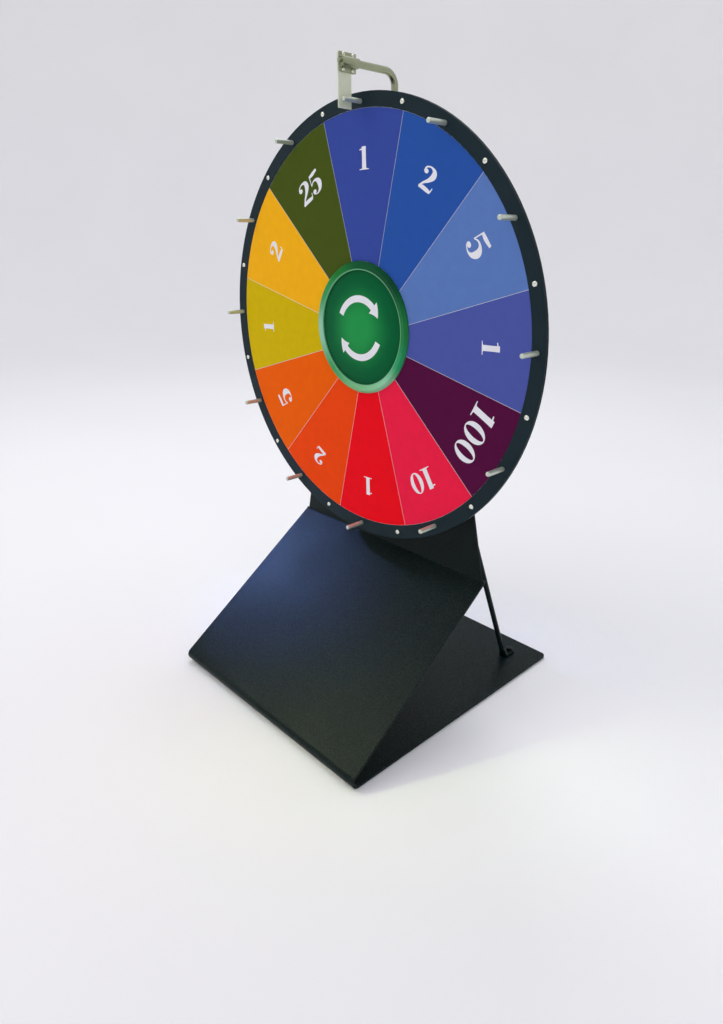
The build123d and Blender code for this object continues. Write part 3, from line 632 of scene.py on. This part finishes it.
def bezel_acrylic():
    """Moulded acrylic ring with painted shading that goes from pale to deep green round the axle.

    The painted shade goes by the angle, from the bottom clockwise and back to the bottom, palest at
    the left and below and deepest above, as light falls on a bevel, and a fine pale line along the inner
    lip is a painted highlight.
    """
    material, tree, where = begin("acrylic_bezel_painted_shading")
    flat, reach = from_axle(tree, where)
    parts = add(tree, "SeparateXYZ", {0: flat})
    turn = add(tree, "Math", {0: parts.outputs["X"], 1: parts.outputs["Z"]}, operation="ARCTAN2")
    share = add(tree, "MapRange", {"Value": turn, "From Min": -math.pi, "From Max": math.pi})
    # Painted shading of a bevel: pale at the left and below, deep above.
    painted_shading = colour_stops(add(tree, "ValToRGB", {"Fac": share}), (
        (0.0, linear("#7FBF88")), (0.12, linear("#46A062")), (0.23, linear("#98CFB4")),
        (0.34, linear("#3A9A5A")), (0.42, linear("#1F7A34")), (0.50, linear("#0A5630")),
        (0.62, linear("#074A2A")), (0.75, linear("#207C40")), (0.83, linear("#2C9A62")),
        (0.90, linear("#90CCA4")), (1.0, linear("#7FBF88"))))
    # A painted highlight: a fine pale line along the bezel's inner lip.
    painted_lip_highlight = add(tree, "MapRange", {
        "Value": reach, "From Min": CAP_OUTER + 1.2 * MM, "From Max": CAP_OUTER + 2.2 * MM,
        "To Min": 0.8, "To Max": 0.0})
    body = add(tree, "Mix", {0: painted_lip_highlight, 6: painted_shading, 7: linear("#78B98E")}, data_type="RGBA")
    soft = add(tree, "Bevel", {"Radius": 0.4 * MM}, samples=4)
    return complete(material, {
        "Base Color": body, "Roughness": 0.3, "IOR": 1.49, "Specular IOR Level": 0.06, "Normal": soft})


def worked_metal(name, tint, rough, cloud, grain, stretch=(1, 1, 1), edge=0.25 * MM, depth=0.01 * MM,
                 metallic=1.0):
    """Bare or plated metal: clouds shift its tint and sheen, and a stretched grain leaves its marks.

    Stretched along the rod it reads as drawing lines, and across a turned part as tool rings.
    """
    material, tree, where = begin(name)
    clouds = add(tree, "TexNoise", {"Vector": where, "Scale": 1 / cloud, "Detail": 3.0})
    drawn = add(tree, "Mapping", {"Vector": where, "Scale": stretch})
    marks = add(tree, "TexNoise", {"Vector": drawn, "Scale": 1 / grain, "Detail": 2.0})
    body = add(tree, "Mix", {0: clouds, 6: shade(tint, 0.82), 7: shade(tint, 1.1)}, data_type="RGBA")
    sheen = add(tree, "MapRange", {
        "Value": clouds, "From Min": 0.3, "From Max": 0.7, "To Min": rough - 0.05, "To Max": rough + 0.06})
    soft = add(tree, "Bevel", {"Radius": edge}, samples=4)
    bump = add(tree, "Bump", {"Height": marks, "Distance": depth, "Normal": soft})
    return complete(material, {
        "Base Color": body, "Metallic": metallic, "Roughness": sheen, "Normal": bump})


def moulded_rubber():
    """Moulded rubber pads: matt black with a dusty bloom."""
    material, tree, where = begin("moulded_rubber")
    bloom = add(tree, "TexNoise", {"Vector": where, "Scale": 1 / (4 * MM), "Detail": 3.0})
    body = add(tree, "Mix", {0: bloom, 6: linear("#151515"), 7: linear("#2B2B2A")}, data_type="RGBA")
    sheen = add(tree, "MapRange", {"Value": bloom, "To Min": 0.7, "To Max": 0.88})
    bump = add(tree, "Bump", {"Height": bloom, "Distance": 0.05 * MM})
    return complete(material, {
        "Base Color": body, "Roughness": sheen, "Normal": bump, "Specular IOR Level": 0.3})


def cut_polypropylene(colour):
    """A strip cut from polypropylene sheet: milky, faintly see-through, with long rolling marks."""
    material, tree, where = begin("cut_polypropylene_strip")
    along = add(tree, "Mapping", {"Vector": where, "Scale": (1, 6, 1)})
    marks = add(tree, "TexNoise", {"Vector": along, "Scale": 1 / (8 * MM), "Detail": 3.0})
    body = add(tree, "Mix", {0: marks, 6: shade(colour, 0.9), 7: shade(colour, 1.06)}, data_type="RGBA")
    sheen = add(tree, "MapRange", {"Value": marks, "To Min": 0.32, "To Max": 0.48})
    soft = add(tree, "Bevel", {"Radius": 0.3 * MM}, samples=4)
    bump = add(tree, "Bump", {"Height": marks, "Distance": 0.03 * MM, "Strength": 0.5, "Normal": soft})
    return complete(material, {
        "Base Color": body, "Roughness": sheen, "Normal": bump, "IOR": 1.49,
        "Transmission Weight": 0.08, "Specular IOR Level": 0.35})


def painted_board():
    """A matt painted board, almost white, with the faintest clouds of a roller."""
    material, tree, where = begin("painted_board")
    cloud = add(tree, "TexNoise", {"Vector": where, "Scale": 1 / (625 * MM), "Detail": 2.0})
    body = add(tree, "Mix", {0: cloud, 6: linear("#F3F2F2"), 7: linear("#F8F7F7")}, data_type="RGBA")
    return complete(material, {"Base Color": body, "Roughness": 0.75, "Specular IOR Level": 0.15})


def finish(material, *starts):
    """Gives a finish to every CAD node whose name starts with one of the given words."""
    for name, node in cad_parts.items():
        if name.startswith(starts):
            node.data.materials.clear()
            node.data.materials.append(material)


# Operators, one for each group of pieces


class GAMEWHEEL_OT_finishes(bpy.types.Operator):
    """Gives each piece of the frame that no other step replaces the finish of its real material"""

    bl_idname = "game_wheel.finishes"
    bl_label = "Finishes"

    def execute(self, context):
        settings = context.scene.wheel_finish
        finish(powder_coated_steel(settings.coat, settings.coat_grain), "stand_sheet", "brace_left",
               "brace_right")
        finish(moulded_rubber(), "rubber_feet")
        # Sprayed aluminium is a little smoother than the moulded ring in front of it.
        finish(satin_black("sprayed_aluminium_disc", linear("#121718"), 1.5 * MM, 0.42, 0.14),
               "wheel_disc")
        finish(satin_black("moulded_abs_ring", settings.rim, 1.8 * MM, 0.48, 0.1), "rim_ring")
        finish(white_polystyrene(settings.white), "graphic_panel")
        finish(cap_acrylic(settings.hub_painted_highlight, settings.hub_painted_shade), "hub_cap")
        finish(bezel_acrylic(), "hub_bezel")
        # Machined aluminium is pale, with fine marks a little over half a millimetre wide.
        finish(worked_metal("machined_aluminium", linear("#C9CBCC"), 0.36, 20 * MM, 0.6 * MM),
               "hub_flange", "arm_socket")
        finish(worked_metal("turned_steel", linear("#A9ABAC"), 0.3, 10 * MM, 0.5 * MM, (0.1, 1, 0.1)),
               "axle", "bearing_spacer", "retaining_clip")
        finish(worked_metal("ground_bearing_steel", linear("#B4B6B8"), 0.18, 8 * MM, 0.4 * MM),
               "front_bearing", "rear_bearing")
        # Satin plating scatters part of the light, so that the pegs look pale and not like mirrors.
        finish(worked_metal("satin_plated_peg", linear("#D2DACA"), 0.36, 5 * MM, 0.7 * MM, (0.1, 1, 0.1),
                            depth=0.004 * MM, metallic=0.55), "peg_")
        # Zinc and nickel plating on drawn rod has a greenish yellow cast and a satin sheen.
        finish(worked_metal("plated_rod", settings.plating, 0.36, 12 * MM, 0.8 * MM, (1, 0.15, 0.15),
                            depth=0.002 * MM), "clicker_arm", "clamp_plate", "clamp_saddle")
        finish(worked_metal("zinc_plated_fastener", linear("#BFC3C2"), 0.34, 3 * MM, 0.5 * MM),
               "axle_bolts", "grub_screws", "hub_screws")
        # Blackened steel: the braces' fasteners hardly show against the stand.
        finish(worked_metal("black_oxide_fastener", linear("#34383A"), 0.42, 3 * MM, 0.5 * MM),
               "brace_foot_screws")
        return {"FINISHED"}


class GAMEWHEEL_OT_segment_films(bpy.types.Operator):
    """Lays the ink film of each segment on the panel, with thin gaps that show the sheet"""

    bl_idname = "game_wheel.segment_films"
    bl_label = "Segment Films"

    def execute(self, context):
        prints = context.scene.wheel_print
        rays, hub_gap = 25, 0.05 * MM
        share = np.linspace(-1, 1, rays)[:, None]
        inner, outer = HUB_OUTER + hub_gap, RING_INNER - prints.border
        radius = np.array([[inner, outer, outer, inner]])
        level = PANEL_FACE - prints.film * np.array([[1, 1, 0, 0]])
        for number, segment in enumerate(prints.segments):
            middle = prints.turn + number * SEGMENT_ANGLE
            # Half a segment's angle, less what half a divider takes at that reach.
            half = SEGMENT_ANGLE / 2 - np.arcsin(
                prints.divider / 2 / reach_of(prints.centre, middle, radius))
            angle = middle + share * half
            reach = reach_of(prints.centre, angle, radius)
            loops = np.stack([
                AXIS[0] + prints.centre[0] + reach * np.sin(angle), level + 0 * angle,
                AXIS[1] + prints.centre[1] + reach * np.cos(angle)], axis=-1)
            add_piece(
                f"segment_film_{number + 1:02d}", [swept(loops)],
                screen_ink(f"screen_ink_{number + 1:02d}", segment.ink), "wheel")
        return {"FINISHED"}


class GAMEWHEEL_OT_numbers(bpy.types.Operator):
    """Prints each segment's number with its top towards the rim, one figure beside the other"""

    bl_idname = "game_wheel.numbers"
    bl_label = "Numbers"

    def execute(self, context):
        prints = context.scene.wheel_print
        white = screen_ink("white_screen_ink", context.scene.wheel_finish.white)
        foot = PANEL_FACE - prints.film
        for number, segment in enumerate(prints.segments):
            widths = np.array([FIGURE_WIDTH[figure] for figure in segment.number])
            middles = np.cumsum(widths) - widths / 2 - widths.sum() / 2
            angle = prints.turn + number * SEGMENT_ANGLE
            size = (prints.figure_width * segment.height, segment.height)
            parts = [
                swept(on_face(loops, size, shift, angle, segment.place, foot), closed)
                for figure, shift in zip(segment.number, middles)
                for loops, closed in figure_parts(figure, prints.film)]
            add_piece(f"number_{number + 1:02d}", parts, white, "wheel")
        return {"FINISHED"}


class GAMEWHEEL_OT_turn_arrows(bpy.types.Operator):
    """Prints two white arrows round the middle of the domed cap, chasing each other clockwise"""

    bl_idname = "game_wheel.turn_arrows"
    bl_label = "Turn Arrows"

    def execute(self, context):
        prints = context.scene.wheel_print
        # The cap is part of a sphere, whose radius is (edge2 + rise2) / (2 rise).
        rise = CAP_RIM - CAP_CROWN
        sphere = (CAP_OUTER ** 2 + rise ** 2) / (2 * rise)
        # A shaft sweeps the whole angle, and its head goes on past it. In shares of the shaft's
        # width, the head's half width falls from barb + tip to tip.
        sweep, head_end, barb, tip = math.radians(108), 1.22, 1.1, 0.02
        shaft, head = np.linspace(0, 1, 40), np.linspace(1, head_end, 12)
        share = np.concatenate([shaft, head])
        half = np.concatenate([
            np.full(len(shaft), prints.arrow_width / 2),
            prints.arrow_width * (tip + barb * (head[-1] - head) / np.ptp(head))])
        parts = []
        for start in (math.radians(-66), math.radians(114)):
            angle = start + share[:, None] * sweep
            radius = prints.arrow_radius + half[:, None] * np.array([1, -1, -1, 1])
            dome = CAP_CROWN + sphere - np.sqrt(sphere ** 2 - radius ** 2)
            level = dome - prints.film * np.array([1.5, 1.5, -0.5, -0.5])
            parts.append(swept(np.stack([
                AXIS[0] + radius * np.sin(angle), level, AXIS[1] + radius * np.cos(angle)], axis=-1)))
        white = screen_ink("white_pad_print", context.scene.wheel_finish.white)
        add_piece("turn_arrows", parts, white, "wheel")
        return {"FINISHED"}


class GAMEWHEEL_OT_screws(bpy.types.Operator):
    """Puts cross-recessed domed screws with threaded ends where the frame has plain ones"""

    bl_idname = "game_wheel.screws"
    bl_label = "Screws"

    def execute(self, context):
        settings = context.scene.wheel_fasteners
        bright = worked_metal("nickel_plated_screw", linear("#F2F5E8"), 0.24, 2 * MM, 0.5 * MM)
        zinc = worked_metal("zinc_plated_screw", linear("#C4C8C8"), 0.32, 3 * MM, 0.5 * MM)
        black = worked_metal("black_oxide_screw", linear("#34383A"), 0.4, 3 * MM, 0.5 * MM)
        front, right = np.array([0.0, -1.0, 0.0]), np.array([1.0, 0.0, 0.0])
        for node, way, material, body, slot in (
                ("rim_screws", front, bright, "wheel", "chrome"),
                ("clamp_screws", right, bright, "stand", "zinc_fastener"),
                ("socket_screws", front, zinc, "stand", "zinc_fastener"),
                ("brace_top_screws", front, black, "stand", "zinc_fastener")):
            parts = []
            for points in solids_of(node):
                seat, *sizes = screw_sizes(points, way)
                parts.append(swept(stand_on(domed_screw(*sizes, settings), seat, way)))
            screws = add_piece(node + "_cut", parts, material, body, crease=34)
            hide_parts(node)
        return {"FINISHED"}


class GAMEWHEEL_OT_nuts(bpy.types.Operator):
    """Puts chamfered nuts where the frame has plain ones"""

    bl_idname = "game_wheel.nuts"
    bl_label = "Nuts"

    def execute(self, context):
        zinc = worked_metal("zinc_plated_nut", linear("#BFC3C2"), 0.34, 3 * MM, 0.6 * MM)
        black = worked_metal("black_oxide_nut", linear("#34383A"), 0.42, 3 * MM, 0.6 * MM)
        back, up, right = np.eye(3)[[1, 2, 0]]
        for node, way, material, body in (
                ("peg_nuts", back, zinc, "wheel"), ("rim_nuts", back, zinc, "wheel"),
                ("axle_nuts", back, zinc, "stand"), ("socket_nuts", back, zinc, "stand"),
                ("brace_top_nuts", back, black, "stand"), ("brace_foot_nuts", up, black, "stand"),
                ("clamp_nuts", right, zinc, "stand")):
            parts = []
            for points in solids_of(node):
                seat, *sizes = nut_sizes(points, way)
                parts.append(swept(stand_on(hex_nut(*sizes), seat, way), True))
            nuts = add_piece(node + "_cut", parts, material, body, crease=24)
            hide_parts(node)
        return {"FINISHED"}


class GAMEWHEEL_OT_flapper(bpy.types.Operator):
    """Puts a strip cut into rows below its clamp where the frame has a stiff one

    It is the frame's own strip, holes and all, cut into even rows below the clamp's lower edge
    so that it can curve there. Above that edge it stays gripped.
    """

    bl_idname = "game_wheel.flapper"
    bl_label = "Flapper"

    def execute(self, context):
        low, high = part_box("flapper_strip")
        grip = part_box("clamp_plate")[0].z
        rows, bend = 28, 0.7 * (grip - low.z)
        strip = bmesh.new()
        strip.from_mesh(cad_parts["flapper_strip"].data)
        bmesh.ops.remove_doubles(strip, verts=strip.verts, dist=0.001 * MM)
        for level in np.linspace(grip, low.z, rows, endpoint=False):
            bmesh.ops.bisect_plane(
                strip, geom=strip.verts[:] + strip.edges[:] + strip.faces[:],
                plane_co=(0, 0, level), plane_no=(0, 0, 1))
        strip.verts.index_update()
        points = np.array([corner.co for corner in strip.verts])
        faces = [[corner.index for corner in face.verts] for face in strip.faces]
        strip.free()
        plastic = cut_polypropylene(context.scene.wheel_finish.strip)
        piece = add_piece("flapper_strip_bent", [(points, faces)], plastic, None)
        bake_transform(piece)
        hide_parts("flapper_strip")
        return {"FINISHED"}


class GAMEWHEEL_OT_studio(bpy.types.Operator):
    """Sets a pale floor, soft lights and the camera"""

    bl_idname = "game_wheel.studio"
    bl_label = "Studio"

    def execute(self, context):
        settings = context.scene.wheel_studio
        self.floor(context.scene)
        self.sky(context.scene, settings.sky)
        # Each light's place and aim, the colour of its light, its power, its width and the
        # angle it spreads over in degrees.
        for name, place, aim, colour, power, width, spread in (
                ("key_light", (-1.3, -2.0, 2.5), (0, 0, 0.4), "#FFFBF2", settings.key, 1.6, 180),
                ("top_light", (-0.9, 0.6, 2.6), (0, -0.1, 0.2), "#FFFFFF", settings.top, 1.2, 180),
                ("side_light", (-2.06, -0.70, 1.62), (-0.24, -0.03, 0.16), "#7FA4FF",
                 settings.side, 0.25, 8),
                ("low_light", (-1.0, -1.25, 1.25), (0.14, -0.18, 0.04), "#E6F0B4",
                 settings.low, 0.3, 16)):
            self.light(context.scene, name, place, aim, colour, power, width, spread)
        self.camera(context.scene, settings.focal)
        context.scene.view_settings.view_transform = "Standard"
        return {"FINISHED"}

    def floor(self, scene):
        """A round floor that rises into a wall without a line: flat, a quarter circle, upright.

        The rows of its profile are radius and height, and it is turned about the upright axis.
        """
        flat, bend, top = 3.2, 2.2, 3.6
        rise = np.linspace(0, np.pi / 2, 25)
        profile = np.concatenate([
            [(0.2, 0), (1.0, 0), (2.0, 0)],
            np.column_stack([flat + bend * np.sin(rise), bend - bend * np.cos(rise)]),
            [(flat + bend, top)]])
        angle = np.linspace(0, 2 * np.pi, 96, endpoint=False)
        points = np.stack([
            profile[:, :1] * np.cos(angle), profile[:, :1] * np.sin(angle),
            profile[:, 1:] + 0 * angle], axis=-1)
        index = np.arange(points[..., 0].size).reshape(points.shape[:2])
        beside = np.roll(index, -1, axis=1)
        faces = np.stack([index[:-1], index[1:], beside[1:], beside[:-1]], axis=-1).reshape(-1, 4)
        mesh = bpy.data.meshes.new("floor")
        mesh.from_pydata(points.reshape(-1, 3).tolist(), [], [index[0].tolist()] + faces.tolist())
        mesh.shade_smooth()
        mesh.materials.append(painted_board())
        board = bpy.data.objects.new("floor", mesh)
        scene.collection.objects.link(board)

    def sky(self, scene, strength):
        """Pale light from above the wall, a little cooler overhead."""
        scene.world = bpy.data.worlds.new("pale_room")
        scene.world.use_nodes = True
        tree = scene.world.node_tree
        tree.nodes.clear()
        way = add(tree, "TexCoord").outputs["Generated"]
        height = add(tree, "SeparateXYZ", {0: way}).outputs["Z"]
        share = add(tree, "MapRange", {"Value": height, "From Min": 0.1, "From Max": 0.9})
        pale, cool = linear("#FFFFFF"), linear("#F2F5FF")
        colour = add(tree, "Mix", {0: share, 6: pale, 7: cool}, data_type="RGBA")
        air = add(tree, "Background", {"Color": colour, "Strength": strength})
        add(tree, "OutputWorld", {"Surface": air})

    def light(self, scene, name, place, aim, colour, power, width, spread):
        """A square soft light at a place, turned towards its aim."""
        lamp = bpy.data.lights.new(name, "AREA")
        lamp.energy, lamp.size, lamp.color = power, width, linear(colour)[:3]
        lamp.spread = math.radians(spread)
        holder = bpy.data.objects.new(name, lamp)
        holder.location = place
        holder.rotation_euler = (Vector(aim) - Vector(place)).to_track_quat("-Z", "Y").to_euler()
        scene.collection.objects.link(holder)

    def camera(self, scene, focal):
        """The camera of the reference view.

        Its place and turn were solved from the pegs, the rim and its screws, and the base's corners.
        """
        lens = bpy.data.cameras.new("camera")
        lens.lens, lens.sensor_width = focal, 36
        lens.shift_x, lens.shift_y = -0.0315, -0.0788
        holder = bpy.data.objects.new("camera", lens)
        holder.location = (0.7458, -0.6936, 0.6641)
        holder.rotation_euler = [math.radians(angle) for angle in (74.53, -0.495, 45.12)]
        scene.collection.objects.link(holder)
        scene.camera = holder


class GAMEWHEEL_PT_sidebar(bpy.types.Panel):
    """Lists the steps and their settings in the 3D view's sidebar"""

    bl_label = "Game Wheel"
    bl_space_type = "VIEW_3D"
    bl_region_type = "UI"
    bl_category = "Game Wheel"

    def draw(self, context):
        for step in STEPS:
            self.layout.operator(step.bl_idname)
        for group in GROUPS:
            settings = getattr(context.scene, group)
            for name in settings.bl_rna.properties.keys():
                if name not in ("rna_type", "name", "segments"):
                    self.layout.prop(settings, name)


STEPS = (
    GAMEWHEEL_OT_finishes, GAMEWHEEL_OT_segment_films, GAMEWHEEL_OT_numbers, GAMEWHEEL_OT_turn_arrows,
    GAMEWHEEL_OT_screws, GAMEWHEEL_OT_nuts, GAMEWHEEL_OT_flapper, GAMEWHEEL_OT_studio,
)
GROUPS = {
    "wheel_print": PrintSettings, "wheel_fasteners": FastenerSettings, "wheel_finish": FinishSettings,
    "wheel_studio": StudioSettings,
}
CLASSES = (SegmentSettings, *GROUPS.values(), *STEPS, GAMEWHEEL_PT_sidebar)


def register():
    for kind in CLASSES:
        bpy.utils.register_class(kind)
    for name, group in GROUPS.items():
        setattr(bpy.types.Scene, name, bpy.props.PointerProperty(type=group))


def unregister():
    for name in GROUPS:
        delattr(bpy.types.Scene, name)
    for kind in reversed(CLASSES):
        bpy.utils.unregister_class(kind)


def main():
    """Registers the classes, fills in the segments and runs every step."""
    register()
    for number, colour, height, place in SEGMENTS:
        segment = bpy.context.scene.wheel_print.segments.add()
        segment.number, segment.ink, segment.height = number, linear(colour), height * MM
        segment.place = [value * MM for value in place]
    for step in STEPS:
        group, name = step.bl_idname.split(".")
        getattr(getattr(bpy.ops, group), name)()


if __name__ == "__main__":
    main()
